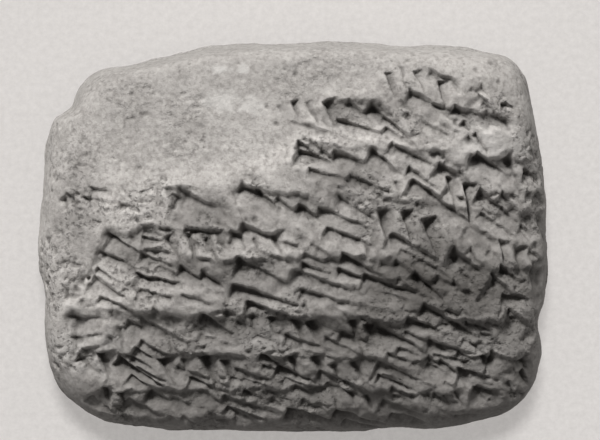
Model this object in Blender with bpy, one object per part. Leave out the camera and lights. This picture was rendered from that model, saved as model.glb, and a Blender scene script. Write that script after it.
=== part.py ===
"""Clay cuneiform tablet, lying on its reverse with the obverse up.

One hand-pressed pillow of clay. Its outline, dome and rubbed corner are a function of direction, and the
writing is cut into it by one small stylus corner for each stroke, in rows that run over the edges. The
strokes are loose pseudo-writing and spell nothing. +X runs along the rows, +Y towards the top edge.
"""

import itertools
import math
import random

import bmesh
import bpy
import numpy as np

MM = 0.001

# Size of the clay body.
WIDTH = 56.0 * MM
HEIGHT = 43.0 * MM
OBVERSE_RISE = 11.0 * MM
REVERSE_DROP = 9.8 * MM
REST_FLAT_DEPTH = 0.5 * MM

# Shape of the pillow: how square its corners are, how far its dome falls by the rim at the sides, the top and
# the foot, where the rim's curve starts and how full it is, and how far above the middle the crest lies.
CORNER_POWER = 3.6
SIDE_DROP = 0.42
HEAD_DROP = 0.12
FOOT_DROP = 0.55
RIM_START = 20
RIM_POWER = 2.5
CREST_SHIFT = 0.20

# The outline's dents: how near the rim they stay, and over how wide a turn their average is taken.
DENT_POWER = 12
DENT_TURN = 0.25

# Unevenness left by the hands that pressed it.
HAND_SWELL = 0.22 * MM
HAND_SWELL_LENGTH = 17.0 * MM

# The rubbed corner, and the width of its soft limit.
WEAR_DEPTH = 0.5 * MM
WEAR_EDGE = 3.5 * MM

# The stylus: widest head and deepest point of a stroke, and the strokes' lengths, gaps and leans.
STYLUS_HEAD = 2.3 * MM
STYLUS_DEPTH = 1.25 * MM
UPRIGHT_LENGTH = 4.7 * MM
LEVEL_LENGTH = 5.6 * MM
STROKE_GAP = 1.75 * MM
STACK_GAP = 1.3 * MM
SIGN_GAP = 0.3 * MM
HAND_SHIFT = 0.35 * MM
LEAST_STROKE_DEPTH = 0.5 * MM
UPRIGHT_LEAN = math.radians(13)
LEVEL_LEAN = math.radians(15)
CORNER_LEAN = math.radians(40)

# How far a stroke's deepest line lies to one side, as a share of half its head, and behind its head's edge.
UPRIGHT_TILT = -0.6
LEVEL_TILT = 0.6
HEAD_SLOPE = 0.22

# How far past the face's edge a stroke may lie, and how near a corner, on the unfolded face.
LAST_TURN = 1.6
CORNER_TURN = 0.97

# How far each cutter stands out of the clay, in depths.
CUTTER_RISE = 1.2

# Cells of the body's mesh along X, Y and Z.
BODY_CELLS = (19, 15, 8)

# Corners of the outline seen from above, as shares of half the width and half the height.
OUTLINE = (
    (1.000, -0.015), (0.994, 0.230), (0.971, 0.465), (0.931, 0.706), (0.904, 0.829), (0.834, 0.921),
    (0.724, 0.959), (0.434, 0.982), (0.137, 1.000), (-0.133, 0.992), (-0.364, 0.967), (-0.575, 0.895),
    (-0.775, 0.834), (-0.849, 0.742), (-0.873, 0.670), (-0.943, 0.609), (-0.971, 0.496),
    (-0.978, 0.292), (-0.998, 0.010), (-1.000, -0.128), (-0.978, -0.271), (-0.978, -0.501),
    (-0.943, -0.690), (-0.865, -0.854), (-0.755, -0.946), (-0.560, -0.987), (0.000, -1.000),
    (0.419, -0.992), (0.693, -0.956), (0.849, -0.890), (0.935, -0.783), (0.967, -0.655),
    (0.978, -0.552), (0.967, -0.450), (0.994, -0.322),
)

# The lower limit of the rubbed corner: height against place along the row, in the outline's shares.
WEAR_LIMIT_X = (-1.00, -0.80, -0.60, -0.10, 0.02, 0.14, 0.50, 0.80, 1.00)
WEAR_LIMIT_Y = (0.34, 0.28, 0.26, 0.36, 0.50, 0.70, 0.84, 0.95, 1.10)

# Rows on the obverse: height of the heads in the middle, slope, first and last place, and size of the strokes.
OBVERSE_ROWS = (
    (0.900, -0.080, 0.45, 1.00, 0.75),
    (0.690, -0.082, -0.04, 1.25, 1.05),
    (0.475, -0.105, 0.00, 1.25, 1.15),
    (0.390, 0.000, -1.18, -0.90, 0.55),
    (0.215, -0.100, -0.50, 1.25, 1.25),
    (0.010, -0.100, -0.85, -0.15, 0.90),
    (-0.115, -0.052, -0.95, 1.25, 1.30),
    (-0.150, 0.000, -1.22, -0.96, 0.50),
    (-0.410, -0.040, -1.15, 1.20, 1.25),
    (-0.610, -0.026, -1.12, 1.15, 1.05),
    (-0.790, 0.000, -1.00, 1.00, 0.95),
)
# Rows on the reverse, which reads the other way up and is plainer and more rubbed.
REVERSE_ROWS = (
    (0.900, 0.000, -0.70, 0.80, 0.80),
    (0.690, 0.000, -0.90, 0.95, 0.90),
)
OBVERSE_SEED = 11
REVERSE_SEED = 3
REVERSE_PRESSURE = 0.7

CLAY_COLOUR = (0.36, 0.345, 0.325, 1.0)
CLAY_ROUGHNESS = 0.85


def clear_scene():
    for item in list(bpy.data.objects):
        bpy.data.objects.remove(item)


def outline_radius(angle):
    """Distance from the middle to the outline, in shares: a cubic curve in polar form through its corners."""
    corners = np.array(OUTLINE)
    angles = np.unwrap(np.arctan2(corners[:, 1], corners[:, 0]))
    radii = np.hypot(corners[:, 0], corners[:, 1])
    order = np.argsort(angles)
    angles, radii = angles[order], radii[order]
    angles = np.concatenate([angles - 2 * np.pi, angles, angles + 2 * np.pi])
    radii = np.tile(radii, 3)
    slopes = np.gradient(radii, angles)
    place = np.clip(np.searchsorted(angles, angle) - 1, 0, len(angles) - 2)
    span = angles[place + 1] - angles[place]
    share = (angle - angles[place]) / span
    start = (1 + 2 * share) * (1 - share) ** 2 * radii[place] + share * (1 - share) ** 2 * span * slopes[place]
    end = share**2 * (3 - 2 * share) * radii[place + 1] + share**2 * (share - 1) * span * slopes[place + 1]
    return start + end


def rubbed(points):
    """How far each point lies inside the rubbed corner of the written face, from 0 to 1 across its soft limit."""
    x, y, z = points.T
    limit = np.interp(x / (WIDTH / 2), WEAR_LIMIT_X, WEAR_LIMIT_Y) * HEIGHT / 2
    inside = np.clip((y - limit) / WEAR_EDGE + 0.5, 0, 1)
    return inside**2 * (3 - 2 * inside) * (z > 0)


def hand_swell(points):
    """Low waves in the clay, three of them crossing at different angles."""
    wave = 2 * np.pi / HAND_SWELL_LENGTH
    x, y, z = points.T
    crossing = np.sin(wave * (x + 0.4 * y)) + np.sin(wave * (0.8 * y - 0.5 * x) + 1.3)
    return HAND_SWELL * (crossing + np.sin(wave * (0.6 * x + 0.9 * y + z) + 2.1)) / 3


def outline_stretch(angle):
    """How far the outline stands out of, or in from, the plain rounded rectangle that way."""
    plain = (np.abs(np.cos(angle)) ** CORNER_POWER + np.abs(np.sin(angle)) ** CORNER_POWER) ** (-1 / CORNER_POWER)
    return outline_radius(angle) / plain


def clay_surface(cube):
    """Points of the unwritten tablet for points on a cube from -1 to 1.

    The cube is rounded to a ball with flattened sides, whose plan is stretched to the outline. The outline's
    dents belong to the rim: towards the two faces they fade to its average over a turn each way. Each face is
    a low dome with a tight curve round the rim. The written one has its crest above the middle, and is flattest
    towards its top edge.
    """
    power = (np.abs(cube) ** CORNER_POWER).sum(1, keepdims=True)
    ball = cube / power ** (1 / CORNER_POWER)
    flat = ball[:, :2]
    share = (np.abs(flat) ** CORNER_POWER).sum(1) ** (1 / CORNER_POWER)
    share = np.clip(share, 1e-9, 1)
    angle = np.arctan2(flat[:, 1], flat[:, 0])
    turns = np.linspace(-DENT_TURN, DENT_TURN, 9)
    smooth = sum(outline_stretch(angle + turn) for turn in turns) / len(turns)
    stretch = smooth + (outline_stretch(angle) - smooth) * share**DENT_POWER
    stretch = 1 + (stretch - 1) * share**2
    front = cube[:, 2] >= 0
    upward = front * flat[:, 1] / share
    drop = SIDE_DROP + np.where(upward > 0, HEAD_DROP - SIDE_DROP, FOOT_DROP - SIDE_DROP) * upward**2
    crown = (1 - drop * share**2) * np.clip(1 - share**RIM_START, 0, 1) ** (1 / RIM_POWER)
    crest = CREST_SHIFT * (1 - share**2) * front
    points = np.column_stack([
        flat[:, 0] * stretch * WIDTH / 2,
        (flat[:, 1] * stretch + crest) * HEIGHT / 2,
        np.where(front, OBVERSE_RISE, -REVERSE_DROP) * crown,
    ])
    points[:, 2] += hand_swell(points) * crown
    return points


def worn_surface(cube):
    """Points of the tablet with its rubbed corner taken down."""
    points = clay_surface(cube)
    points[:, 2] -= WEAR_DEPTH * rubbed(points)
    return points


def box_lattice(cells):
    """Corners and four-sided faces of a box's surface, cut into cells each way, with the corners from -1 to 1."""
    faces = []
    for axis in range(3):
        first, second = (axis + 1) % 3, (axis + 2) % 3
        i, j = np.meshgrid(np.arange(cells[first]), np.arange(cells[second]), indexing="ij")
        for side in (0, cells[axis]):
            corner = np.full(i.shape + (4, 3), side)
            for turn, (step_i, step_j) in enumerate(((0, 0), (1, 0), (1, 1), (0, 1))):
                corner[..., turn, first] = i + step_i
                corner[..., turn, second] = j + step_j
            faces.append((corner if side else corner[..., ::-1, :]).reshape(-1, 4, 3))
    corners = np.concatenate(faces).reshape(-1, 3)
    key = (corners[:, 0] * (cells[1] + 1) + corners[:, 1]) * (cells[2] + 1) + corners[:, 2]
    _, first_place, index = np.unique(key, return_index=True, return_inverse=True)
    return corners[first_place] / np.array(cells) * 2.0 - 1, index.reshape(-1, 4)


def unfold(across, up, reverse):
    beyond = max(abs(across) - 1, 0) + max(abs(up) - 1, 0)
    x, y, z = np.clip(across, -1, 1), np.clip(up, -1, 1), max(1 - beyond, -1)
    return (x, -y, -z) if reverse else (x, y, z)


class WrittenFace:
    """One face as a writer sees it: places along and up the face, and the clay's frame at each."""

    STEP = 0.004
    REACH = 1.9

    def __init__(self, reverse):
        self.reverse = reverse
        ways = np.linspace(-self.REACH, self.REACH, 381)
        self.ways = ways
        turned = -1 if reverse else 1
        column = self.points([(0, way) for way in ways])[:, 1] * turned / (HEIGHT / 2)
        front = np.abs(ways) <= 1.2
        self.heights, self.height_ways = column[front], ways[front]

    def points(self, places):
        return clay_surface(np.array([unfold(a, u, self.reverse) for a, u in places]))

    def row_way(self, height):
        return float(np.interp(height, self.heights, self.height_ways))

    def row_lengths(self, up):
        line = self.points([(way, up) for way in self.ways])
        steps = np.linalg.norm(np.diff(line, axis=0), axis=1)
        return np.concatenate([[0], np.cumsum(steps)])

    def frame(self, across, up):
        step = self.STEP
        places = ((across, up), (across - step, up), (across + step, up), (across, up - step), (across, up + step))
        point, left, right, below, above = self.points(places)
        along = right - left
        along /= np.linalg.norm(along)
        normal = np.cross(along, above - below)
        normal /= np.linalg.norm(normal)
        return point, along, np.cross(normal, along), normal


def sign_strokes(chance):
    """One loose group of strokes and its width. A stroke is (along, up, angle, length, head, depth, tilt)."""
    kind = chance.choice(("fan", "fan", "fan", "stack", "stack", "crossed", "corners", "slant", "plate", "plate"))
    strokes = []
    if kind == "fan":
        count = chance.randint(2, 4)
        for turn in range(count):
            lean = UPRIGHT_LEAN + chance.uniform(-0.08, 0.14) - math.pi / 2
            strokes.append((turn * STROKE_GAP, 0, lean, UPRIGHT_LENGTH, 1.0, 0.9, UPRIGHT_TILT))
        width = count * STROKE_GAP
    elif kind == "stack":
        count = chance.randint(2, 4)
        for turn in range(count):
            lean = LEVEL_LEAN + chance.uniform(-0.06, 0.16)
            along = chance.uniform(0, 2) * HAND_SHIFT
            strokes.append((along, -STACK_GAP * turn, -lean, 0.9 * LEVEL_LENGTH, 0.75, 0.75, LEVEL_TILT))
        width = 0.72 * LEVEL_LENGTH
    elif kind == "crossed":
        strokes.append((0, -1.7 * STACK_GAP, -LEVEL_LEAN, 1.3 * LEVEL_LENGTH, 0.9, 0.8, LEVEL_TILT))
        for turn in range(2):
            lean = UPRIGHT_LEAN + chance.uniform(-0.08, 0.12) - math.pi / 2
            along = (0.9 + 1.1 * turn) * STROKE_GAP
            strokes.append((along, 0, lean, 1.05 * UPRIGHT_LENGTH, 1.05, 1.0, UPRIGHT_TILT))
        width = 3.0 * STROKE_GAP
    elif kind == "corners":
        count = chance.randint(1, 2)
        for turn in range(count):
            rise = chance.uniform(-1.8, -0.3) * STACK_GAP
            strokes.append((turn * STROKE_GAP, rise, -CORNER_LEAN, 0.7 * UPRIGHT_LENGTH, 1.1, 0.95, 0.2))
        width = (count + 0.3) * STROKE_GAP
    elif kind == "plate":
        lean = LEVEL_LEAN + chance.uniform(0.0, 0.25)
        strokes.append((0, -STACK_GAP, -lean, 1.5 * LEVEL_LENGTH, 1.9, 0.85, 0.7))
        width = 0.9 * LEVEL_LENGTH
    else:
        count = chance.randint(2, 4)
        for turn in range(count):
            lean = CORNER_LEAN + chance.uniform(-0.3, -0.05)
            along, rise = 0.85 * turn * STROKE_GAP, -0.3 * turn * STACK_GAP
            strokes.append((along, rise, -lean, 0.85 * LEVEL_LENGTH, 0.8, 0.8, 0.5))
        width = 0.85 * (count + 0.6) * STROKE_GAP
    return strokes, width


def level_strokes(chance):
    """One or two long level strokes that lie under the signs, low in the row, and their width."""
    lean = LEVEL_LEAN + chance.uniform(-0.08, 0.16)
    rise = chance.uniform(-2.8, -0.9) * STACK_GAP
    length = chance.uniform(1.2, 2.1) * LEVEL_LENGTH
    strokes = [(0, rise, -lean, length, 1.2, 0.85, LEVEL_TILT)]
    if chance.random() < 0.6:
        strokes.append((0.5 * STROKE_GAP, rise - STACK_GAP, -lean, 0.85 * length, 0.85, 0.7, LEVEL_TILT))
    return strokes, 0.5 * length


def written_strokes(rows, reverse, seed, pressure):
    """All strokes of one face, row by row, each as its place on the clay, its directions and its sizes."""
    face = WrittenFace(reverse)
    chance = random.Random(seed)
    found = []
    for (height, slope, first, last, size), group in itertools.product(rows, (level_strokes, sign_strokes)):
        up = face.row_way(height)
        lengths = face.row_lengths(up)
        place, end = np.interp((first, last), face.ways, lengths)
        above = np.linalg.norm(np.diff(face.points([(0, up), (0, up + face.STEP)]), axis=0)) / face.STEP
        while place < end:
            strokes, width = group(chance)
            scale = size * chance.uniform(0.8, 1.25)
            for along, rise, angle, length, head, depth, tilt in strokes:
                along = along * scale + chance.uniform(-1, 1) * HAND_SHIFT
                way = float(np.interp(place + along, lengths, face.ways))
                rise = rise * scale + slope * way * HEIGHT / 2 + chance.uniform(-1, 1) * HAND_SHIFT
                rise = up + rise / above
                if max(abs(way), abs(rise)) > LAST_TURN or min(abs(way), abs(rise)) > CORNER_TURN:
                    continue
                point, right, upward, normal = face.frame(way, rise)
                heading = math.cos(angle) * right + math.sin(angle) * upward
                found.append({
                    "point": point,
                    "heading": heading,
                    "side": np.cross(normal, heading),
                    "normal": normal,
                    "length": length * scale * chance.uniform(0.75, 1.35),
                    "head": head * STYLUS_HEAD * scale**0.5 * chance.uniform(0.75, 1.25),
                    "depth": depth * pressure * STYLUS_DEPTH * scale**0.5 * chance.uniform(0.65, 1.25),
                    "tilt": tilt + chance.uniform(-0.15, 0.15),
                })
            place += width * scale + chance.uniform(0, 2) * SIGN_GAP
    return found


def all_strokes():
    front = written_strokes(OBVERSE_ROWS, False, OBVERSE_SEED, 1.0)
    back = written_strokes(REVERSE_ROWS, True, REVERSE_SEED, REVERSE_PRESSURE)
    return front + back


def body_mesh():
    """The tablet before it was written on, with the belly cut flat where it dried lying down."""
    corners, faces = box_lattice(BODY_CELLS)
    shape = bmesh.new()
    points = [shape.verts.new(point) for point in worn_surface(corners)]
    for face in faces:
        shape.faces.new([points[index] for index in face])
    lowest = min(vert.co.z for vert in shape.verts) + REST_FLAT_DEPTH
    everything = shape.verts[:] + shape.edges[:] + shape.faces[:]
    cut = bmesh.ops.bisect_plane(
        shape, geom=everything, dist=1e-7, plane_co=(0, 0, lowest), plane_no=(0, 0, -1), clear_outer=True
    )
    rim = [item for item in cut["geom_cut"] if isinstance(item, bmesh.types.BMEdge)]
    bmesh.ops.contextual_create(shape, geom=rim)
    bmesh.ops.recalc_face_normals(shape, faces=shape.faces)
    mesh = bpy.data.meshes.new("tablet")
    shape.to_mesh(mesh)
    shape.free()
    return mesh


def stylus_corner(shape, stroke):
    """One stylus corner as a four-sided cutter: three planes that meet at the stroke's deepest point."""
    across = stroke["side"] * stroke["head"] / 2
    forward = stroke["heading"]
    deepest = stroke["point"] + forward * HEAD_SLOPE * stroke["head"] - stroke["normal"] * stroke["depth"]
    deepest = deepest + across * stroke["tilt"]
    corners = (
        stroke["point"] + across,
        stroke["point"] - across,
        stroke["point"] + forward * stroke["length"],
    )
    tip = shape.verts.new(deepest)
    top = [shape.verts.new(corner + (corner - deepest) * CUTTER_RISE) for corner in corners]
    shape.faces.new((top[0], top[1], top[2]))
    for turn in range(3):
        shape.faces.new((top[(turn + 1) % 3], top[turn], tip))


def stylus_object(strokes):
    shape = bmesh.new()
    for stroke in strokes:
        stylus_corner(shape, stroke)
    bmesh.ops.recalc_face_normals(shape, faces=shape.faces)
    mesh = bpy.data.meshes.new("stylus_corners")
    shape.to_mesh(mesh)
    shape.free()
    cutter = bpy.data.objects.new("stylus_corners", mesh)
    cutter.hide_render = True
    cutter.display_type = "WIRE"
    return cutter


def clay_material():
    clay = bpy.data.materials.new("fired_clay")
    clay.use_nodes = True
    shader = clay.node_tree.nodes["Principled BSDF"]
    shader.inputs["Base Color"].default_value = CLAY_COLOUR
    shader.inputs["Roughness"].default_value = CLAY_ROUGHNESS
    return clay


def build():
    clear_scene()
    collection = bpy.context.scene.collection
    tablet = bpy.data.objects.new("tablet", body_mesh())
    tablet.data.materials.append(clay_material())
    collection.objects.link(tablet)
    cutter = stylus_object([stroke for stroke in all_strokes() if stroke["depth"] > LEAST_STROKE_DEPTH])
    collection.objects.link(cutter)
    writing = tablet.modifiers.new("writing", "BOOLEAN")
    writing.object = cutter
    writing.operation = "DIFFERENCE"
    writing.solver = "EXACT"
    writing.use_self = True
    corners = np.array([corner.co for corner in tablet.data.vertices])
    low, high = corners.min(0), corners.max(0)
    middle = (-(low[0] + high[0]) / 2, -(low[1] + high[1]) / 2, -low[2])
    tablet.location = middle
    cutter.location = middle


build()
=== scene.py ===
"""Looks of the clay cuneiform tablet: its fine pressed relief, its grey clay, the floor, lights and camera.

The tablet's surface is worked out again here from the same dimensions as its solid, on a much finer
lattice, so that every stylus stroke keeps its place, and the rims, rub, pocks and grain are added to it.
"""

import itertools
import math
import random

import bpy
import numpy as np
from mathutils import Euler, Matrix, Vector


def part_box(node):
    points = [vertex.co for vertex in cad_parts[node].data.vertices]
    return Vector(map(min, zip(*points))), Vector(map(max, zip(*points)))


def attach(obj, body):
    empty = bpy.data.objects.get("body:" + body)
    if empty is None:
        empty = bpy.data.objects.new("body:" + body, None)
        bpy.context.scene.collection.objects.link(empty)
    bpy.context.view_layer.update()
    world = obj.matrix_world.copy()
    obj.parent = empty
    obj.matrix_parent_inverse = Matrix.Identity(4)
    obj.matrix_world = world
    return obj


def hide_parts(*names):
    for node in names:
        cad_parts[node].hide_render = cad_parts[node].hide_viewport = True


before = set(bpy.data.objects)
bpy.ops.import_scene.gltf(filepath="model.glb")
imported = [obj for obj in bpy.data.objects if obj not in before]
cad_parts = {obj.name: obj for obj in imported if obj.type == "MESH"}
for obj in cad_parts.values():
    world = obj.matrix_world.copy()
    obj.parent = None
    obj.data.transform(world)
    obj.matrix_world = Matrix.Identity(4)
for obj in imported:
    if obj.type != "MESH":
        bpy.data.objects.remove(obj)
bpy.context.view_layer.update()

MM = 0.001

# Size of the clay body. The sizes, rows and seeds down to the paint are the solid's own.
WIDTH = 56.0 * MM
HEIGHT = 43.0 * MM
OBVERSE_RISE = 11.0 * MM
REVERSE_DROP = 9.8 * MM
REST_FLAT_DEPTH = 0.5 * MM

# Shape of the pillow: how square its corners are, how far its dome falls by the rim at the sides, the top
# and the foot, where the rim's curve starts and how full it is, and how far above the middle the crest lies.
CORNER_POWER = 3.6
SIDE_DROP = 0.42
HEAD_DROP = 0.12
FOOT_DROP = 0.55
RIM_START = 20
RIM_POWER = 2.5
CREST_SHIFT = 0.20

# The outline's dents: how near the rim they stay, and over how wide a turn their average is taken.
DENT_POWER = 12
DENT_TURN = 0.25

# Unevenness left by the hands that pressed it.
HAND_SWELL = 0.22 * MM
HAND_SWELL_LENGTH = 17.0 * MM

# The rubbed corner, and the width of its soft limit.
WEAR_DEPTH = 0.5 * MM
WEAR_EDGE = 3.5 * MM

# The stylus: widest head and deepest point of a stroke, and the strokes' lengths, gaps and leans. The gap
# between light touches belongs to the fine relief alone.
STYLUS_HEAD = 2.3 * MM
STYLUS_DEPTH = 1.25 * MM
UPRIGHT_LENGTH = 4.7 * MM
LEVEL_LENGTH = 5.6 * MM
STROKE_GAP = 1.75 * MM
STACK_GAP = 1.3 * MM
SIGN_GAP = 0.3 * MM
LIGHT_GAP = 1.5 * MM
HAND_SHIFT = 0.35 * MM
UPRIGHT_LEAN = math.radians(13)
LEVEL_LEAN = math.radians(15)
CORNER_LEAN = math.radians(40)

# How far a stroke's deepest line lies to one side, as a share of half its head, and behind its head's edge.
UPRIGHT_TILT = -0.6
LEVEL_TILT = 0.6
HEAD_SLOPE = 0.22

# How far past the face's edge a stroke may lie, and how near a corner, on the unfolded face.
LAST_TURN = 1.6
CORNER_TURN = 0.97

# Kinds of loose sign, the commoner ones more than once.
SIGN_KINDS = ("fan", "fan", "fan", "stack", "stack", "crossed", "corners", "slant", "plate", "plate")

# Corners of the outline seen from above, as shares of half the width and half the height.
OUTLINE = (
    (1.000, -0.015), (0.994, 0.230), (0.971, 0.465), (0.931, 0.706), (0.904, 0.829), (0.834, 0.921),
    (0.724, 0.959), (0.434, 0.982), (0.137, 1.000), (-0.133, 0.992), (-0.364, 0.967), (-0.575, 0.895),
    (-0.775, 0.834), (-0.849, 0.742), (-0.873, 0.670), (-0.943, 0.609), (-0.971, 0.496),
    (-0.978, 0.292), (-0.998, 0.010), (-1.000, -0.128), (-0.978, -0.271), (-0.978, -0.501),
    (-0.943, -0.690), (-0.865, -0.854), (-0.755, -0.946), (-0.560, -0.987), (0.000, -1.000),
    (0.419, -0.992), (0.693, -0.956), (0.849, -0.890), (0.935, -0.783), (0.967, -0.655),
    (0.978, -0.552), (0.967, -0.450), (0.994, -0.322),
)

# The lower limit of the rubbed corner: height against place along the row, in the outline's shares.
WEAR_LIMIT_X = (-1.00, -0.80, -0.60, -0.10, 0.02, 0.14, 0.50, 0.80, 1.00)
WEAR_LIMIT_Y = (0.34, 0.28, 0.26, 0.36, 0.50, 0.70, 0.84, 0.95, 1.10)

# Rows on the obverse: height of the heads in the middle, slope, first and last place, and the strokes' size.
OBVERSE_ROWS = (
    (0.900, -0.080, 0.45, 1.00, 0.75),
    (0.690, -0.082, -0.04, 1.25, 1.05),
    (0.475, -0.105, 0.00, 1.25, 1.15),
    (0.390, 0.000, -1.18, -0.90, 0.55),
    (0.215, -0.100, -0.50, 1.25, 1.25),
    (0.010, -0.100, -0.85, -0.15, 0.90),
    (-0.115, -0.052, -0.95, 1.25, 1.30),
    (-0.150, 0.000, -1.22, -0.96, 0.50),
    (-0.410, -0.040, -1.15, 1.20, 1.25),
    (-0.610, -0.026, -1.12, 1.15, 1.05),
    (-0.790, 0.000, -1.00, 1.00, 0.95),
)
# Rows on the reverse, which reads the other way up and is plainer and more rubbed.
REVERSE_ROWS = (
    (0.900, 0.000, -0.70, 0.80, 0.80),
    (0.690, 0.000, -0.90, 0.95, 0.90),
)
OBVERSE_SEED = 11
REVERSE_SEED = 3
REVERSE_PRESSURE = 0.7
# The light touches' own seed, and how much further along than its row each line of them goes.
TOUCH_SEED = 5
TOUCH_REACH = 0.25

# The last traces of white paint: each one's middle, its reach each way, and how much of it is left.
PAINT_TRACES = (
    ((-7.9 * MM, 18.1 * MM), (1.3 * MM, 0.5 * MM), 0.45),
    ((-5.3 * MM, 18.2 * MM), (0.5 * MM, 0.6 * MM), 0.45),
    ((-7.6 * MM, 14.6 * MM), (2.0 * MM, 1.3 * MM), 0.35),
    ((-4.6 * MM, 14.2 * MM), (1.4 * MM, 1.1 * MM), 0.3),
)
# Darker patches on the written face, partly stains of earth and water and partly painted shade,
# in the same terms.
STAINS_AND_SHADE = (
    ((-8.5 * MM, 2.3 * MM), (8.0 * MM, 2.4 * MM), 0.5),
    ((-18.0 * MM, -1.0 * MM), (4.5 * MM, 2.0 * MM), 0.4),
    ((5.5 * MM, 6.2 * MM), (4.5 * MM, 2.2 * MM), 0.8),
    ((15.5 * MM, -5.0 * MM), (10.0 * MM, 5.0 * MM), 0.95),
    ((6.5 * MM, -10.5 * MM), (5.5 * MM, 2.5 * MM), 0.6),
    ((12.0 * MM, 14.5 * MM), (6.0 * MM, 2.2 * MM), 0.3),
    ((-24.5 * MM, 3.5 * MM), (3.5 * MM, 7.0 * MM), 0.45),
    ((-11.0 * MM, -3.5 * MM), (6.0 * MM, 1.6 * MM), 0.4),
)
# Paler patches, in the same terms; the first, on the upper right shoulder,
# is painted light where it faces the light.
PALE_PATCHES = (
    ((21.0 * MM, 9.5 * MM), (4.5 * MM, 4.0 * MM), 0.45),
    ((-23.0 * MM, -12.5 * MM), (4.0 * MM, 4.0 * MM), 0.5),
    ((-3.0 * MM, -11.3 * MM), (3.5 * MM, 2.0 * MM), 0.5),
    ((20.0 * MM, -13.0 * MM), (4.0 * MM, 3.5 * MM), 0.5),
)
# The height of all these patches' middles, and how far down from it they reach.
PATCH_HEIGHT = 2 * OBVERSE_RISE
PATCH_REACH_DOWN = 12.0 * MM

# The fine lattice: its cells along X, Y and Z, and how many triangles the finished mesh keeps of it.
FINE_CELLS = (470, 360, 160)
MOST_TRIANGLES = 192000

# The clay between and round the strokes: how deep the finest skin lies under the solid's own surface, its
# waves and soft lumps, the height above the rim's middle from which the corner is wholly rubbed, and the
# low rim that a stroke pushes up.
SKIN = 0.12 * MM
WAVE_SIZE = 2.4 * MM
WAVE_RISE = 0.05 * MM
LUMP_SIZE = 4.2 * MM
LUMP_RISE = 0.28 * MM
FACE_RISE = 5.0 * MM
RIM_RISE = 0.09 * MM
RIM_WIDTH = 0.16 * MM

# How a row of strokes has pressed the clay down below its line: how deep, and how far down, as a share of
# half the tablet's height. It sets in over a short way at its line and its ends, and fades by a power. Its
# line wavers, and the press is patchy.
ROW_PRESS = 0.9 * MM
ROW_FOOT = 0.30
ROW_ONSET = 0.10
ROW_END = 0.08
ROW_FADE = 1.5
ROW_WAVER = 0.02
ROW_WAVER_SIZE = 7.0 * MM
ROW_PATCH_SIZE = 3.0 * MM

# Depths that set a point's marks: a stroke this deep makes it written, and a dent this deep wholly hollow.
# Both are evened out over so many rounds of the lattice.
WRITTEN_DEPTH = 0.3 * MM
WRITTEN_ROUNDS = 40
HOLLOW_DEPTH = 0.10 * MM
HOLLOW_ROUNDS = 12
# The depth given to clay that no stroke reaches, and how far under its own place a stroke still cuts.
OUT_OF_REACH = -1.0 * MM
CUT_REACH = 2.5 * MM

# How the strokes have lost their straight lines: crumbled edges, and a slow sway as of a hand.
CRUMBLE_SIZE = 1.0 * MM
CRUMBLE_SHIFT = 0.13 * MM
SWAY_SIZE = 3.6 * MM
SWAY_SHIFT = 0.14 * MM

# Grain and pocks, the share of their cells that hold a pock, and the patches where both are stronger.
GRAIN_SIZE = 0.9 * MM
GRAIN_RISE = 0.05 * MM
GRAIN_PATCH = 3.4 * MM
POCK_CELL = 1.15 * MM
POCK_DEPTH = 0.22 * MM
POCK_SHARE = 0.4
FINE_POCK_CELL = 0.55 * MM
FINE_POCK_DEPTH = 0.16 * MM
FINE_POCK_SHARE = 0.6

# Ragged crumbled patches, with holes drawn out along the rows as a finger drags clay. Each named spot is
# its place across and up the face and its reach, in millimetres.
CRUMB_SIZE = 0.75 * MM
CRUMB_PATCH = 3.4 * MM
CRUMB_DEPTH = 0.22 * MM
DRAG_STRETCH = 0.6
CRUMBLED_SPOTS = (
    (4.8, 19.3, 3.0), (-19.0, 15.5, 3.2), (-26.3, 9.0, 3.0), (-23.5, 2.2, 3.0), (-25.5, -4.5, 3.0),
    (-15.5, 4.0, 2.5), (-10.0, 1.2, 2.2), (15.5, -2.4, 3.2), (22.5, -4.5, 3.5), (21.0, -9.0, 4.0),
    (9.5, -9.0, 3.5), (1.0, -8.0, 2.5), (25.5, 10.0, 2.0), (8.0, 5.5, 2.5),
)

# Fine cracks and scratches: each one's two ends on the face and its width, in millimetres.
SCRATCH_DEPTH = 0.15 * MM
SCRATCHES = (
    ((-6.9, 5.5), (-4.7, -0.3), 0.22),
    ((-16.2, -5.6), (-13.6, -8.2), 0.20),
    ((17.5, -6.9), (21.1, -11.4), 0.20),
    ((24.2, 2.4), (27.4, -3.3), 0.18),
    ((-25.4, 6.1), (-21.3, 3.0), 0.25),
)

# The noise's cells lie turned so far about X, Y and Z, in radians. Each use has a seed of its own.
NOISE_TURN = (0.5, 0.7, 0.9)
SEEDS = {
    "grain": 11,
    "crumble": 20,
    "wave": 40,
    "sway": 50,
    "lumps": 60,
    "pocks": 70,
    "fine_pocks": 80,
    "row_waver": 90,
    "row_patches": 91,
    "grain_patches": 95,
    "crumbs": 110,
    "crumbly": 115,
}

# Noises in the clay's colour and finish: the real size of their grains, their detail, and the shift in
# metres that keeps them apart.
CLAY_NOISES = {
    "mottle": (3.5 * MM, 5, 0.1),
    "dark_grit": (0.5 * MM, 4, 0.2),
    "light_grit": (0.6 * MM, 4, 0.7),
    "pits": (0.45 * MM, 3, 0.9),
    "lower_right_stain_and_shade": (9.0 * MM, 4, 0.3),
    "pale_edges": (4.0 * MM, 4, 0.55),
    "stain_and_shade_edges": (4.0 * MM, 4, 0.8),
    "paint_edges": (1.1 * MM, 3, 0.6),
    "sand": (0.35 * MM, 4, 0.4),
    "fine_sand": (0.12 * MM, 2, 0.5),
}
CLAY_NOISE_ROUGHNESS = 0.6
LOWER_RIGHT_RAGGEDNESS = 24.0 * MM
SAND_RISE = 0.09 * MM
PAPER_FIBRE = 0.7 * MM

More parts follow.
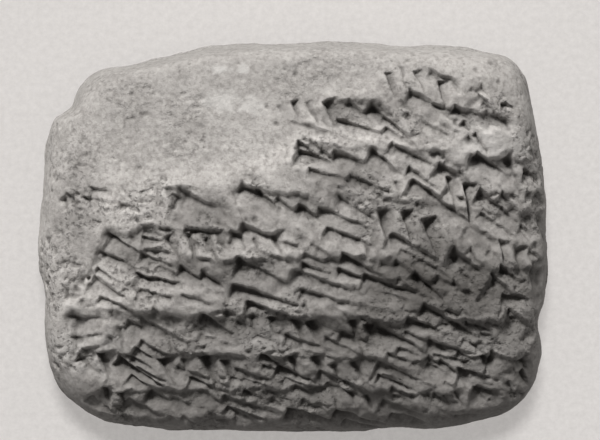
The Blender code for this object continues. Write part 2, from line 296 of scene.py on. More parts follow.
# The photograph's frame in pixels: its width, the tablet's width in it, and how far its middle lies to the
# right of the tablet's and above it.
PHOTO_WIDTH = 600
TABLET_WIDTH_IN_PHOTO = 510
MIDDLE_IN_PHOTO = (7.0, 16.5)
EYE_DISTANCE = 0.55
SENSOR_WIDTH = 36.0
FLOOR_REACH = 1.5


def outline_radius(angle):
    """Distance from the middle to the outline, in shares: a cubic curve in polar form, point by point."""
    corners = np.array(OUTLINE)
    angles = np.unwrap(np.arctan2(corners[:, 1], corners[:, 0]))
    radii = np.hypot(corners[:, 0], corners[:, 1])
    order = np.argsort(angles)
    angles, radii = angles[order], radii[order]
    angles = np.concatenate([angles - 2 * np.pi, angles, angles + 2 * np.pi])
    radii = np.tile(radii, 3)
    slopes = np.gradient(radii, angles)
    place = np.clip(np.searchsorted(angles, angle) - 1, 0, len(angles) - 2)
    span = angles[place + 1] - angles[place]
    share = (angle - angles[place]) / span
    start = (1 + 2 * share) * (1 - share) ** 2 * radii[place]
    start += share * (1 - share) ** 2 * span * slopes[place]
    end = share**2 * (3 - 2 * share) * radii[place + 1]
    end += share**2 * (share - 1) * span * slopes[place + 1]
    return start + end


def rubbed(points):
    """How far each point lies inside the rubbed corner of the face, from 0 to 1 across its soft limit."""
    x, y, z = points.T
    limit = np.interp(x / (WIDTH / 2), WEAR_LIMIT_X, WEAR_LIMIT_Y) * HEIGHT / 2
    inside = np.clip((y - limit) / WEAR_EDGE + 0.5, 0, 1)
    return inside**2 * (3 - 2 * inside) * (z > 0)


def hand_swell(points):
    """How far the clay stands out where a hand pressed it less: the mean of three crossing sine waves."""
    wave = 2 * np.pi / HAND_SWELL_LENGTH
    x, y, z = points.T
    crossing = np.sin(wave * (x + 0.4 * y)) + np.sin(wave * (0.8 * y - 0.5 * x) + 1.3)
    return HAND_SWELL * (crossing + np.sin(wave * (0.6 * x + 0.9 * y + z) + 2.1)) / 3


def outline_stretch(angle):
    """How far the outline stands out of, or in from, the plain rounded rectangle that way."""
    plain = np.abs(np.cos(angle)) ** CORNER_POWER + np.abs(np.sin(angle)) ** CORNER_POWER
    plain = plain ** (-1 / CORNER_POWER)
    return outline_radius(angle) / plain


def clay_surface(cube):
    """Points of the unwritten tablet for points on a cube from -1 to 1.

    The cube is rounded to a ball with flattened sides, whose plan is stretched to the outline. The
    outline's dents belong to the rim: towards the two faces they fade to its average over a turn each way.
    Each face is a low dome with a tight curve round the rim. The written one has its crest above the
    middle, and is flattest towards its top edge.
    """
    power = (np.abs(cube) ** CORNER_POWER).sum(1, keepdims=True)
    ball = cube / power ** (1 / CORNER_POWER)
    flat = ball[:, :2]
    share = (np.abs(flat) ** CORNER_POWER).sum(1) ** (1 / CORNER_POWER)
    share = np.clip(share, 1e-9, 1)
    angle = np.arctan2(flat[:, 1], flat[:, 0])
    turns = np.linspace(-DENT_TURN, DENT_TURN, 9)
    smooth = sum(outline_stretch(angle + turn) for turn in turns) / len(turns)
    stretch = smooth + (outline_stretch(angle) - smooth) * share**DENT_POWER
    stretch = 1 + (stretch - 1) * share**2
    front = cube[:, 2] >= 0
    upward = front * flat[:, 1] / share
    drop = SIDE_DROP + np.where(upward > 0, HEAD_DROP - SIDE_DROP, FOOT_DROP - SIDE_DROP) * upward**2
    crown = (1 - drop * share**2) * np.clip(1 - share**RIM_START, 0, 1) ** (1 / RIM_POWER)
    crest = CREST_SHIFT * (1 - share**2) * front
    points = np.column_stack([
        flat[:, 0] * stretch * WIDTH / 2,
        (flat[:, 1] * stretch + crest) * HEIGHT / 2,
        np.where(front, OBVERSE_RISE, -REVERSE_DROP) * crown,
    ])
    points[:, 2] += hand_swell(points) * crown
    return points


def box_lattice(cells):
    """Corners, from -1 to 1, and four-sided faces of a box's surface, cut into cells each way."""
    faces = []
    for axis in range(3):
        first, second = (axis + 1) % 3, (axis + 2) % 3
        i, j = np.meshgrid(np.arange(cells[first]), np.arange(cells[second]), indexing="ij")
        for side in (0, cells[axis]):
            corner = np.full(i.shape + (4, 3), side)
            for turn, (step_i, step_j) in enumerate(((0, 0), (1, 0), (1, 1), (0, 1))):
                corner[..., turn, first] = i + step_i
                corner[..., turn, second] = j + step_j
            faces.append((corner if side else corner[..., ::-1, :]).reshape(-1, 4, 3))
    corners = np.concatenate(faces).reshape(-1, 3)
    key = (corners[:, 0] * (cells[1] + 1) + corners[:, 1]) * (cells[2] + 1) + corners[:, 2]
    _, first_place, index = np.unique(key, return_index=True, return_inverse=True)
    return corners[first_place] / np.array(cells) * 2.0 - 1, index.reshape(-1, 4)


def unfold(across, up, reverse):
    """The cube's point for a place on a face. Past the face's edge, at 1, the way goes on down the side."""
    beyond = max(abs(across) - 1, 0) + max(abs(up) - 1, 0)
    x, y, z = np.clip(across, -1, 1), np.clip(up, -1, 1), max(1 - beyond, -1)
    return (x, -y, -z) if reverse else (x, y, z)


class WrittenFace:
    """One face as a writer sees it: places along and up the face, and the clay's frame at each."""

    STEP = 0.004
    REACH = 1.9

    def __init__(self, reverse):
        """Keeps which face it is, and what its lines are laid out from."""
        self.reverse = reverse
        ways = np.linspace(-self.REACH, self.REACH, 381)
        self.ways = ways
        turned = -1 if reverse else 1
        column = self.points([(0, way) for way in ways])[:, 1] * turned / (HEIGHT / 2)
        front = np.abs(ways) <= 1.2
        self.heights, self.height_ways = column[front], ways[front]

    def points(self, places):
        """The clay's points at places given as (across, up), each from -1 to 1 on the face itself."""
        return clay_surface(np.array([unfold(a, u, self.reverse) for a, u in places]))

    def row_way(self, height):
        """The way up the face at which its middle line stands at that share of the tablet's height."""
        return float(np.interp(height, self.heights, self.height_ways))

    def row_lengths(self, up):
        """Real length along a row from its start to each of the ways across: its small chords, summed."""
        line = self.points([(way, up) for way in self.ways])
        steps = np.linalg.norm(np.diff(line, axis=0), axis=1)
        return np.concatenate([[0], np.cumsum(steps)])

    def frame(self, across, up):
        """The clay's point there, and unit directions along the row, up the face and out of the clay."""
        step = self.STEP
        beside = (across - step, up), (across + step, up)
        over = (across, up - step), (across, up + step)
        point, left, right, below, above = self.points(((across, up), *beside, *over))
        along = right - left
        along /= np.linalg.norm(along)
        normal = np.cross(along, above - below)
        normal /= np.linalg.norm(normal)
        return point, along, np.cross(normal, along), normal


def sign_strokes(chance):
    """One loose group of strokes and its width. A stroke is along, up, angle, length, head, depth, tilt."""
    kind = chance.choice(SIGN_KINDS)
    strokes = []
    if kind == "fan":
        count = chance.randint(2, 4)
        for turn in range(count):
            lean = UPRIGHT_LEAN + chance.uniform(-0.08, 0.14) - math.pi / 2
            strokes.append((turn * STROKE_GAP, 0, lean, UPRIGHT_LENGTH, 1.0, 0.9, UPRIGHT_TILT))
        width = count * STROKE_GAP
    elif kind == "stack":
        count = chance.randint(2, 4)
        for turn in range(count):
            lean = LEVEL_LEAN + chance.uniform(-0.06, 0.16)
            along = chance.uniform(0, 2) * HAND_SHIFT
            strokes.append((along, -STACK_GAP * turn, -lean, 0.9 * LEVEL_LENGTH, 0.75, 0.75, LEVEL_TILT))
        width = 0.72 * LEVEL_LENGTH
    elif kind == "crossed":
        strokes.append((0, -1.7 * STACK_GAP, -LEVEL_LEAN, 1.3 * LEVEL_LENGTH, 0.9, 0.8, LEVEL_TILT))
        for turn in range(2):
            lean = UPRIGHT_LEAN + chance.uniform(-0.08, 0.12) - math.pi / 2
            along = (0.9 + 1.1 * turn) * STROKE_GAP
            strokes.append((along, 0, lean, 1.05 * UPRIGHT_LENGTH, 1.05, 1.0, UPRIGHT_TILT))
        width = 3.0 * STROKE_GAP
    elif kind == "corners":
        count = chance.randint(1, 2)
        for turn in range(count):
            rise = chance.uniform(-1.8, -0.3) * STACK_GAP
            strokes.append((turn * STROKE_GAP, rise, -CORNER_LEAN, 0.7 * UPRIGHT_LENGTH, 1.1, 0.95, 0.2))
        width = (count + 0.3) * STROKE_GAP
    elif kind == "plate":
        lean = LEVEL_LEAN + chance.uniform(0.0, 0.25)
        strokes.append((0, -STACK_GAP, -lean, 1.5 * LEVEL_LENGTH, 1.9, 0.85, 0.7))
        width = 0.9 * LEVEL_LENGTH
    else:
        count = chance.randint(2, 4)
        for turn in range(count):
            lean = CORNER_LEAN + chance.uniform(-0.3, -0.05)
            along, rise = 0.85 * turn * STROKE_GAP, -0.3 * turn * STACK_GAP
            strokes.append((along, rise, -lean, 0.85 * LEVEL_LENGTH, 0.8, 0.8, 0.5))
        width = 0.85 * (count + 0.6) * STROKE_GAP
    return strokes, width


def level_strokes(chance):
    """One or two long level strokes that lie under the signs, low in the row, and their width."""
    lean = LEVEL_LEAN + chance.uniform(-0.08, 0.16)
    rise = chance.uniform(-2.8, -0.9) * STACK_GAP
    length = chance.uniform(1.2, 2.1) * LEVEL_LENGTH
    strokes = [(0, rise, -lean, length, 1.2, 0.85, LEVEL_TILT)]
    if chance.random() < 0.6:
        strokes.append((0.5 * STROKE_GAP, rise - STACK_GAP, -lean, 0.85 * length, 0.85, 0.7, LEVEL_TILT))
    return strokes, 0.5 * length


def light_strokes(chance):
    """One light touch of the stylus between the deeper strokes, which the solid leaves out."""
    lean = LEVEL_LEAN + chance.uniform(-0.12, 0.45)
    tilt = LEVEL_TILT
    if chance.random() < 0.3:
        lean = math.pi / 2 - UPRIGHT_LEAN + chance.uniform(-0.2, 0.1)
        tilt = UPRIGHT_TILT
    length = chance.uniform(0.5, 1.1) * LEVEL_LENGTH
    rise = chance.uniform(-3.4, 0.2) * STACK_GAP
    return [(0, rise, -lean, length, chance.uniform(0.45, 0.8), chance.uniform(0.2, 0.38), tilt)], LIGHT_GAP


def written_strokes(rows, reverse, seed, pressure, groups):
    """Strokes of one face, row by row, each as its place on the clay, its directions and its sizes."""
    face = WrittenFace(reverse)
    chance = random.Random(seed)
    found = []
    for (height, slope, first, last, size), group in itertools.product(rows, groups):
        up = face.row_way(height)
        lengths = face.row_lengths(up)
        place, end = np.interp((first, last), face.ways, lengths)
        above = np.linalg.norm(np.diff(face.points([(0, up), (0, up + face.STEP)]), axis=0)) / face.STEP
        while place < end:
            strokes, width = group(chance)
            scale = size * chance.uniform(0.8, 1.25)
            for along, rise, angle, length, head, depth, tilt in strokes:
                along = along * scale + chance.uniform(-1, 1) * HAND_SHIFT
                way = float(np.interp(place + along, lengths, face.ways))
                rise = rise * scale + slope * way * HEIGHT / 2 + chance.uniform(-1, 1) * HAND_SHIFT
                rise = up + rise / above
                if max(abs(way), abs(rise)) > LAST_TURN or min(abs(way), abs(rise)) > CORNER_TURN:
                    continue
                point, right, upward, normal = face.frame(way, rise)
                heading = math.cos(angle) * right + math.sin(angle) * upward
                found.append({
                    "point": point,
                    "heading": heading,
                    "side": np.cross(normal, heading),
                    "normal": normal,
                    "length": length * scale * chance.uniform(0.75, 1.35),
                    "head": head * STYLUS_HEAD * scale**0.5 * chance.uniform(0.75, 1.25),
                    "depth": depth * pressure * STYLUS_DEPTH * scale**0.5 * chance.uniform(0.65, 1.25),
                    "tilt": tilt + chance.uniform(-0.15, 0.15),
                })
            place += width * scale + chance.uniform(0, 2) * SIGN_GAP
    return found


def all_strokes():
    """Every stroke: those of the solid on both faces, and the light touches, which reach over the edge."""
    deep, light = (level_strokes, sign_strokes), (light_strokes, light_strokes)
    wider = [(*row[:3], row[3] + TOUCH_REACH, row[4]) for row in OBVERSE_ROWS]
    front = written_strokes(OBVERSE_ROWS, False, OBVERSE_SEED, 1.0, deep)
    back = written_strokes(REVERSE_ROWS, True, REVERSE_SEED, REVERSE_PRESSURE, deep)
    touches = written_strokes(wider, False, TOUCH_SEED, 1.0, light)
    return front + back + touches


def vertex_normals(points, faces):
    """Unit normals of a closed mesh: the cross product of each face's diagonals, summed at its corners."""
    corner = points[faces]
    across = np.cross(corner[:, 2] - corner[:, 0], corner[:, 3] - corner[:, 1])
    total = np.zeros_like(points)
    for turn in range(4):
        for axis in range(3):
            total[:, axis] += np.bincount(faces[:, turn], across[:, axis], len(points))
    return total / np.linalg.norm(total, axis=1, keepdims=True)


def scattered(cells, seed):
    """A repeatable random number from 0 to 1 for each whole-number cell."""
    x, y, z = (cells[..., axis].astype(np.int64) for axis in range(3))
    mixed = x * 374761393 + y * 668265263 + z * 1442695041 + seed * 974634777
    mixed = (mixed ^ (mixed >> 13)) * 1274126177
    mixed = mixed ^ (mixed >> 16)
    return (mixed & 0xFFFFFF) / float(0xFFFFFF)


def clay_noise(points, size, seed):
    """Smooth random values from -1 to 1: cell corners' random numbers, blended by smooth steps.

    The cells lie askew to the tablet, by NOISE_TURN, so that no row of them shows.
    """
    place = points @ np.array(Euler(NOISE_TURN).to_matrix()) / size
    cell = np.floor(place)
    part = place - cell
    part = part * part * (3 - 2 * part)
    total = np.zeros(len(points))
    for corner in itertools.product((0, 1), repeat=3):
        weight = np.prod(np.where(np.array(corner) == 1, part, 1 - part), axis=1)
        total += weight * scattered(cell + corner, seed)
    return total * 2 - 1


def rough(points, size, seed, octaves):
    """Noise summed over octaves, each half the size and a little over half the height of the last."""
    total = np.zeros(len(points))
    for octave in range(octaves):
        total += 0.55**octave * clay_noise(points, size / 2**octave, seed + octave)
    return total


def pocks(points, cell_size, seed, share):
    """Depth from 0 to 1 of small round holes, one at most in each cell, in that share of the cells."""
    place = points / cell_size
    home = np.floor(place)
    deepest = np.zeros(len(points))
    for step in itertools.product((-1, 0, 1), repeat=3):
        cell = home + step
        centre = cell + np.stack([0.2 + 0.6 * scattered(cell, seed + axis) for axis in range(3)], axis=1)
        radius = 0.12 + 0.30 * scattered(cell, seed + 5) ** 2
        kept = scattered(cell, seed + 9) < share
        away = np.linalg.norm(place - centre, axis=1) / radius
        deepest = np.maximum(deepest, np.where(kept, np.clip(1 - away**2, 0, 1) * radius / 0.42, 0))
    return deepest


def crumbling(points, seed):
    """How far the clay has crumbled at each point, from 0 to 1, in patches where a broad noise is high.

    The noise is raised round each of the named spots on the written face.
    """
    broad = clay_noise(points, CRUMB_PATCH, seed)
    for x, y, reach in CRUMBLED_SPOTS:
        away = np.linalg.norm(points[:, :2] - np.array((x, y)) * MM, axis=1) / (reach * MM)
        broad = broad + np.clip(1.3 - away, 0, 1) * (points[:, 2] > 0)
    return np.clip((broad - 0.05) / 0.3, 0, 1)


def stroke_depth(points, strokes):
    """How deep the stylus went at each point of the clay.

    A stroke is the least of three planes that all reach its deepest point: one falls from the head's edge,
    and two fall from the sides that run from the head to the tail's tip. Where strokes cross, the deepest
    wins.
    """
    depth = np.full(len(points), OUT_OF_REACH)
    for stroke in strokes:
        reach = stroke["length"] + stroke["head"]
        away = points - stroke["point"]
        near = np.flatnonzero((away**2).sum(1) < reach**2)
        local = away[near]
        ahead = local @ stroke["heading"]
        aside = local @ stroke["side"]
        above = local @ stroke["normal"]
        half, length, deep = stroke["head"] / 2, stroke["length"], stroke["depth"]
        tip_ahead, tip_aside = HEAD_SLOPE * stroke["head"], half * stroke["tilt"]
        head_wall = ahead / tip_ahead
        left = (1 - ahead / length - aside / half) / (1 - tip_ahead / length - tip_aside / half)
        right = (1 - ahead / length + aside / half) / (1 - tip_ahead / length + tip_aside / half)
        cut = deep * np.minimum(head_wall, np.minimum(left, right)) + above
        cut[above < -CUT_REACH] = OUT_OF_REACH
        depth[near] = np.maximum(depth[near], cut)
    return depth


def row_press(points):
    """How far each row of strokes has pushed the clay down: most just under its heads, none by its foot."""
    x, y = points[:, 0] / (WIDTH / 2), points[:, 1] / (HEIGHT / 2)
    waver = ROW_WAVER * clay_noise(points * (1, 1, 0), ROW_WAVER_SIZE, SEEDS["row_waver"])
    pressed = np.zeros(len(points))
    for height, slope, first, last, size in OBVERSE_ROWS:
        below = (height + slope * x + waver - y) / (ROW_FOOT * size)
        inside = np.clip((x - first) / ROW_END, 0, 1) * np.clip((last - x) / ROW_END, 0, 1)
        start = np.clip(below / ROW_ONSET + 0.5, 0, 1)
        pressed = np.maximum(pressed, inside * start * np.clip(1 - below, 0, 1) ** ROW_FADE)
    patches = 0.75 + 0.5 * clay_noise(points, ROW_PATCH_SIZE, SEEDS["row_patches"])
    return ROW_PRESS * pressed * (points[:, 2] > 0) * patches


def evened(values, faces, rounds):
    """Values at a mesh's points, each moved to the mean of the faces round it, that many times."""
    for _ in range(rounds):
        face_mean = values[faces].mean(1)
        total = np.bincount(faces.ravel(), np.repeat(face_mean, 4), len(values))
        values = total / np.bincount(faces.ravel(), minlength=len(values))
    return values


def scratches(points):
    """Depth from 0 to 1 of the fine cracks and scratches, each a straight line across the written face."""
    deepest = np.zeros(len(points))
    for start, end, width in SCRATCHES:
        start, end = np.array(start) * MM, np.array(end) * MM
        way = end - start
        along = np.clip((points[:, :2] - start) @ way / (way @ way), 0, 1)
        away = np.linalg.norm(points[:, :2] - start - along[:, None] * way, axis=1) / (width * MM)
        deepest = np.maximum(deepest, np.clip(1 - away, 0, 1) * np.sin(np.pi * (0.1 + 0.8 * along)))
    return deepest * (points[:, 2] > 0)


def relief(clay, faces):
    """How far each point is moved out of the clay by the strokes and what goes with them, and its marks.

    The strokes, the push along the rows and the rub go in, and the deepest of them wins. The low rims round
    the strokes and the soft lumps come out. Grain, pocks, scratches and crumbs are laid on that. The marks
    tell how hollow a point is beside those round it, how deep in a stroke, how crumbled and how pressed.
    """
    crumble = [rough(clay, CRUMBLE_SIZE, SEEDS["crumble"] + 5 * axis, 3) for axis in range(3)]
    crumble = CRUMBLE_SHIFT * np.stack(crumble, axis=1)
    sway = [clay_noise(clay, SWAY_SIZE, SEEDS["sway"] + axis) for axis in range(3)]
    sway = SWAY_SHIFT * np.stack(sway, axis=1)
    depth = stroke_depth(clay + crumble + sway, all_strokes())
    smooth = rubbed(clay)
    upper = np.clip(clay[:, 2] / FACE_RISE, 0, 1)
    rub = WEAR_DEPTH * smooth * upper + WAVE_RISE * (1 + rough(clay, WAVE_SIZE, SEEDS["wave"], 3))
    rim = RIM_RISE * np.exp(-((np.minimum(depth, 0) / RIM_WIDTH) ** 2)) * (depth < 0) * (1 - smooth)
    written = evened(np.clip(depth / WRITTEN_DEPTH, 0, 1), faces, WRITTEN_ROUNDS)
    written = np.clip(3 * written, 0, 1) * (1 - smooth)
    pressed = row_press(clay + 2 * crumble) * written
    lumps = LUMP_RISE * rough(clay, LUMP_SIZE, SEEDS["lumps"], 2)
    lumps = lumps * (0.3 + 0.7 * np.maximum(written, 1 - upper))
    moved = -np.maximum(depth + 0.5 * pressed, np.maximum(rub, pressed)) + rim + lumps
    moved = evened(moved, faces, 1)
    patches = clay_noise(clay, GRAIN_PATCH, SEEDS["grain_patches"])
    grain = GRAIN_RISE * rough(clay, GRAIN_SIZE, SEEDS["grain"], 4)
    grain = grain * (0.7 + written + 0.8 * np.clip(patches, 0, 1))
    holes = POCK_DEPTH * pocks(clay + crumble, POCK_CELL, SEEDS["pocks"], POCK_SHARE)
    fine_holes = pocks(clay + crumble, FINE_POCK_CELL, SEEDS["fine_pocks"], FINE_POCK_SHARE)
    holes += FINE_POCK_DEPTH * fine_holes * np.clip(4 * patches - 1, 0, 1)
    crumbly = crumbling(clay, SEEDS["crumbly"]) * (1 - 0.5 * smooth)
    ragged = rough(clay * (DRAG_STRETCH, 1, 1), CRUMB_SIZE, SEEDS["crumbs"], 2)
    ragged = np.clip((ragged - 0.2) / 0.4, 0, 1)
    holes += SCRATCH_DEPTH * scratches(clay) + CRUMB_DEPTH * ragged * crumbly
    moved = moved + grain - holes
    # These marks set the clay's painted shade in hollows, deep strokes and pressed rows, and its painted
    # highlight on ridges.
    marks = {
        "hollow": np.clip((evened(moved, faces, HOLLOW_ROUNDS) - moved) / HOLLOW_DEPTH, -1, 1),
        "deep": np.clip(depth / STYLUS_DEPTH, 0, 1),
        "crumbly": crumbly,
        "pressed": np.clip(pressed / ROW_PRESS, 0, 1) ** 2,
    }
    return moved, marks


def tablet_surface():
    """The fine mesh of the whole tablet, cut flat where it rests, and the marks of its points."""
    corners, faces = box_lattice(FINE_CELLS)
    clay = clay_surface(corners)
    normals = vertex_normals(clay, faces)
    moved, marks = relief(clay, faces)
    points = clay + normals * (moved - SKIN)[:, None]
    points[:, 2] = np.maximum(points[:, 2], REST_FLAT_DEPTH - REVERSE_DROP)
    return points, faces, marks


def tablet_piece():
    """The finished piece: the fine mesh, set in the middle of the solid's box and on its floor, thinned."""
    points, faces, marks = tablet_surface()
    low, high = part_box("tablet")
    middle = (points.min(0) + points.max(0)) / 2
    home = (low.x + high.x) / 2, (low.y + high.y) / 2
    shift = np.array([home[0] - middle[0], home[1] - middle[1], -points[:, 2].min()])
    mesh = bpy.data.meshes.new("tablet_clay")
    mesh.from_pydata(points + shift, [], faces)
    for name, values in marks.items():
        layer = mesh.attributes.new(name, "FLOAT", "POINT")
        layer.data.foreach_set("value", values.astype(np.float32))
    mesh.shade_smooth()
    tablet = bpy.data.objects.new("tablet_clay", mesh)
    bpy.context.scene.collection.objects.link(tablet)
    thin = tablet.modifiers.new("thin", "DECIMATE")
    thin.ratio = MOST_TRIANGLES / (2 * len(faces))
    thin.use_collapse_triangulate = True
    bpy.context.view_layer.update()
    thinned = tablet.evaluated_get(bpy.context.evaluated_depsgraph_get())
    finished = bpy.data.meshes.new_from_object(thinned)
    tablet.modifiers.clear()
    tablet.data = finished
    finished.name = "tablet_clay"
    places = np.empty(3 * len(finished.vertices), np.float32)
    finished.vertices.foreach_get("co", places)
    places[2::3] = np.maximum(places[2::3], 0)
    finished.vertices.foreach_set("co", places)
    finished.shade_smooth()
    return tablet


def linear(code):
    """The linear colour of an sRGB hex value."""
    parts = [int(code[place : place + 2], 16) / 255 for place in (0, 2, 4)]
    return tuple(p / 12.92 if p <= 0.04045 else ((p + 0.055) / 1.055) ** 2.4 for p in parts) + (1.0,)


def add(tree, kind, settings=(), links=()):
    """A node with its settings, and its inputs either given a value or linked from another's output."""
    node = tree.nodes.new(kind)
    for name, value in dict(settings).items():
        setattr(node, name, value)
    for name, value in dict(links).items():
        if isinstance(value, bpy.types.NodeSocket):
            tree.links.new(value, node.inputs[name])
        else:
            node.inputs[name].default_value = value
    return node


def patch_coats(tree, place, patches, ragged, outer, inner, code):
    """Coats of one colour for ragged patches on the written face.

    A patch's value is the distance from its middle, in shares of its reach, and twice the ragged noise
    added to it. The colour comes in from the outer value down to the inner one.
    """
    coats = []
    for (across, up), reach, share in patches:
        middle, reach = (across, up, PATCH_HEIGHT), (*reach, PATCH_REACH_DOWN)
        away = add(tree, "ShaderNodeVectorMath", {"operation": "SUBTRACT"}, {0: place, 1: middle})
        away = add(tree, "ShaderNodeVectorMath", {"operation": "DIVIDE"}, {0: away.outputs[0], 1: reach})
        away = add(tree, "ShaderNodeVectorMath", {"operation": "LENGTH"}, {0: away.outputs[0]})
        links = {0: ragged, 1: 2, 2: away.outputs["Value"]}
        value = add(tree, "ShaderNodeMath", {"operation": "MULTIPLY_ADD"}, links).outputs[0]
        coats.append((value, outer, inner, share, code))
    return coats


def grey_clay():
    """Dry unglazed clay: grey, mottled and pitted. It has painted shade in its hollows, deep in its strokes
    and in its small pits, a painted shadow along its rows and painted shade along its top edge. It is darker
    towards the lower right and in patches, partly from stains of earth and water and partly from painted
    shade, and paler in patches, one of them painted light on the upper right shoulder. Its ridges carry a
    painted highlight, and the last traces of white paint lie on the rubbed corner."""
    clay = bpy.data.materials.new("grey_clay")
    clay.use_nodes = True
    tree = clay.node_tree
    shader = tree.nodes["Principled BSDF"]
    shader.inputs["Roughness"].default_value = 0.85
    shader.inputs["IOR"].default_value = 1.45
    shader.inputs["Specular IOR Level"].default_value = 0.25
    place = add(tree, "ShaderNodeTexCoord").outputs["Object"]
    value = {}
    for name, (size, detail, shift) in CLAY_NOISES.items():
        links = {0: place, 1: (shift, shift, shift)}
        moved = add(tree, "ShaderNodeVectorMath", {"operation": "ADD"}, links)
        links = {"Vector": moved.outputs[0], "Scale": 1 / size, "Detail": detail}
        links["Roughness"] = CLAY_NOISE_ROUGHNESS
        value[name] = add(tree, "ShaderNodeTexNoise", {}, links).outputs["Fac"]
    for name in ("hollow", "deep", "crumbly", "pressed"):
        value[name] = add(tree, "ShaderNodeAttribute", {"attribute_name": name}).outputs["Fac"]

    # Painted shade in small pits, dense where the clay is crumbled or pressed and sparse elsewhere.
    dense = {0: value["crumbly"], 1: value["pressed"]}
    dense = add(tree, "ShaderNodeMath", {"operation": "MAXIMUM"}, dense).outputs[0]
    dense = add(tree, "ShaderNodeMath", {"operation": "MAXIMUM"}, {0: dense, 1: 0.1}).outputs[0]
    links = {"Value": value["pits"], "From Min": 0.52, "From Max": 0.66, "To Min": 0, "To Max": 0.6}
    pits = add(tree, "ShaderNodeMapRange", {}, links).outputs["Result"]
    pits = add(tree, "ShaderNodeMath", {"operation": "MULTIPLY"}, {0: pits, 1: dense}).outputs[0]

    # How far a point lies to the lower right, darker there partly from stain and partly from painted shade
    # where the face turns from the light, and to the top edge, where shade is painted.
    right = add(tree, "ShaderNodeVectorMath", {"operation": "DOT_PRODUCT"}, {0: place, 1: (0.35, -1, 0)})
    links = {0: value["lower_right_stain_and_shade"], 1: LOWER_RIGHT_RAGGEDNESS, 2: right.outputs["Value"]}
    lower_right_stain_and_shade = add(tree, "ShaderNodeMath", {"operation": "MULTIPLY_ADD"}, links).outputs[0]
    top = add(tree, "ShaderNodeVectorMath", {"operation": "DOT_PRODUCT"}, {0: place, 1: (-0.1, 1, 0)})

    # Coats over the base colour, from the first to the last: the value that lays it on, where that starts
    # and where it is full, the coat's greatest share, and its colour.
    coats = [
        (value["mottle"], 0.35, 0.65, 1, "aaa6a2"),
        (value["dark_grit"], 0.45, 0.68, 0.65, "74706c"),
        (value["light_grit"], 0.5, 0.68, 0.5, "c0bcb7"),
        # Paler patches; the first is painted light on the upper right shoulder.
        *patch_coats(tree, place, PALE_PATCHES, value["pale_edges"], 2.3, 1.3, "dcd8d4"),
        # Painted highlight on ridges, then painted shade in hollows and deep in the strokes.
        (value["hollow"], -0.2, -1, 0.45, "b9b5b1"),
        (value["hollow"], 0.1, 1, 0.5, "4b4845"),
        (value["deep"], 0.1, 0.8, 0.4, "4b4845"),
        (value["crumbly"], 0, 1, 0.08, "5a5753"),
        # Painted shadow along the rows, just under each row's line.
        (value["pressed"], 0, 1, 0.8, "3c3a37"),
        # Painted shade in the small pits.
        (pits, 0, 1, 1, "34312f"),
        # Darker towards the lower right: partly stain, partly painted shade where the face turns from the
        # light.
        (lower_right_stain_and_shade, 5 * MM, 25 * MM, 0.62, "55524f"),
        # Dark patches: partly stains, partly painted shade.
        *patch_coats(tree, place, STAINS_AND_SHADE, value["stain_and_shade_edges"], 2.3, 1.3, "4a4744"),
        *patch_coats(tree, place, PAINT_TRACES, value["paint_edges"], 2.2, 1.6, "dedbd7"),
        # Painted shade along the top edge.
        (top.outputs["Value"], 10 * MM, 20 * MM, 0.36, "6c6966"),
    ]
    colour = linear("9a9692")
    for source, start, full, share, code in coats:
        links = {"Value": source, "From Min": start, "From Max": full, "To Min": 0, "To Max": share}
        laid = add(tree, "ShaderNodeMapRange", {}, links).outputs["Result"]
        links = {"Fac": laid, "Color1": colour, "Color2": linear(code)}
        colour = add(tree, "ShaderNodeMixRGB", {}, links).outputs["Color"]
    tree.links.new(colour, shader.inputs["Base Color"])

    # Sand stands out of the clay, half as high where it is fine, and the pits go in.
    links = {0: value["fine_sand"], 1: 0.5, 2: value["sand"]}
    height = add(tree, "ShaderNodeMath", {"operation": "MULTIPLY_ADD"}, links).outputs[0]
    links = {0: pits, 1: -1.5, 2: height}
    height = add(tree, "ShaderNodeMath", {"operation": "MULTIPLY_ADD"}, links).outputs[0]
    bump = add(tree, "ShaderNodeBump", {}, {"Height": height, "Distance": SAND_RISE, "Strength": 0.8})
    tree.links.new(bump.outputs["Normal"], shader.inputs["Normal"])
    return clay


def stage_floor():
    """A wide sheet of pale matt paper, whose fibre shows as a faint mottle."""
    mesh = bpy.data.meshes.new("floor")
    corners = [(FLOOR_REACH * x, FLOOR_REACH * y, 0) for x, y in ((-1, -1), (1, -1), (1, 1), (-1, 1))]
    mesh.from_pydata(corners, [], [(0, 1, 2, 3)])
    floor = bpy.data.objects.new("floor", mesh)
    bpy.context.scene.collection.objects.link(floor)
    paper = bpy.data.materials.new("white_paper")
    paper.use_nodes = True
    shader = paper.node_tree.nodes["Principled BSDF"]
    shader.inputs["Roughness"].default_value = 0.9
    place = add(paper.node_tree, "ShaderNodeTexCoord").outputs["Object"]
    fibre = {"Vector": place, "Scale": 1 / PAPER_FIBRE, "Detail": 3.0, "Roughness": 0.7}
    fibre = add(paper.node_tree, "ShaderNodeTexNoise", {}, fibre).outputs["Fac"]
    tone = {"Fac": fibre, "Color1": linear("d5d1ce"), "Color2": linear("f3efec")}
    tone = add(paper.node_tree, "ShaderNodeMixRGB", {}, tone).outputs["Color"]
    paper.node_tree.links.new(tone, shader.inputs["Base Color"])
    mesh.materials.append(paper)
    # The paper throws no light back onto the clay, as if it lay well below it.
    floor.visible_diffuse = False
    return floor


def linked(lamp, role, thing):
    """The lamp lights this thing alone, or is shaded by it alone, as a studio's flags would have it."""
    group = bpy.data.collections.new(lamp.name + "_" + role)
    group.objects.link(thing)
    setattr(lamp.light_linking, role + "_collection", group)


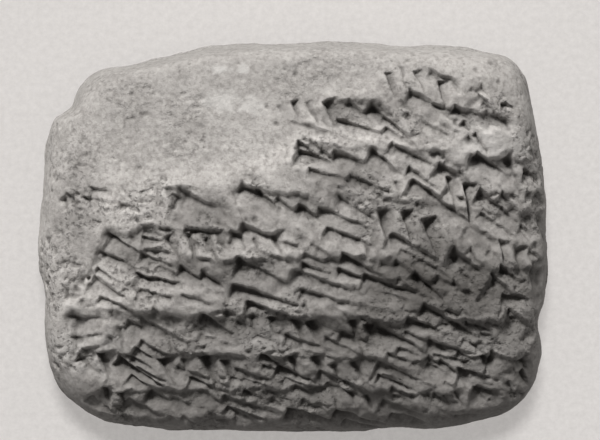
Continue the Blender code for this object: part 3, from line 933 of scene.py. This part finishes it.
def disc_lamp(name, place, size, watts):
    """A round soft lamp that faces the tablet."""
    light = bpy.data.lights.new(name, "AREA")
    light.shape = "DISK"
    light.size = size
    light.energy = watts
    lamp = bpy.data.objects.new(name, light)
    bpy.context.scene.collection.objects.link(lamp)
    lamp.location = place
    lamp.rotation_euler = Vector(place).to_track_quat("Z", "Y").to_euler()
    return lamp


def studio(tablet, floor):
    """A raking lamp from above the top edge and two low fills for the clay, and for the floor an even wash
    without shadows and a lamp that throws one soft shadow. Each lamp has its place, size and watts."""
    lamps = (
        ("rake", (-0.50, 1.08, 0.90), 0.42, 38.5, tablet),
        ("right_fill", (0.75, 0.30, 0.22), 0.40, 3.2, tablet),
        ("left_fill", (-0.60, -0.62, 0.25), 0.40, 2.1, tablet),
        ("wash", (0.15, -0.15, 1.00), 0.50, 5.05, floor),
        ("shade", (-0.04, 0.50, 1.75), 0.30, 10.5, floor),
    )
    for name, place, size, watts, lit in lamps:
        lamp = disc_lamp(name, place, size, watts)
        linked(lamp, "receiver", lit)
        if name == "wash":
            linked(lamp, "blocker", floor)
    world = bpy.data.worlds.new("studio")
    bpy.context.scene.world = world
    world.use_nodes = True
    sky = world.node_tree.nodes["Background"]
    sky.inputs["Color"].default_value = (1.0, 0.98, 0.96, 1.0)
    sky.inputs["Strength"].default_value = 0.12


def camera():
    """Straight down on the written face, framed and scaled as the photograph is at the tablet's widest."""
    pixel = WIDTH / TABLET_WIDTH_IN_PHOTO
    right, up = MIDDLE_IN_PHOTO
    level = REVERSE_DROP - REST_FLAT_DEPTH
    view = bpy.data.cameras.new("camera")
    view.sensor_width = SENSOR_WIDTH
    view.lens = view.sensor_width * EYE_DISTANCE / (PHOTO_WIDTH * pixel)
    eye = bpy.data.objects.new("camera", view)
    bpy.context.scene.collection.objects.link(eye)
    eye.location = (right * pixel, up * pixel, level + EYE_DISTANCE)
    bpy.context.scene.camera = eye
    bpy.context.scene.view_settings.view_transform = "Standard"


tablet = tablet_piece()
tablet.data.materials.clear()
tablet.data.materials.append(grey_clay())
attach(tablet, "root")
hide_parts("tablet")
floor = stage_floor()
camera()
studio(tablet, floor)
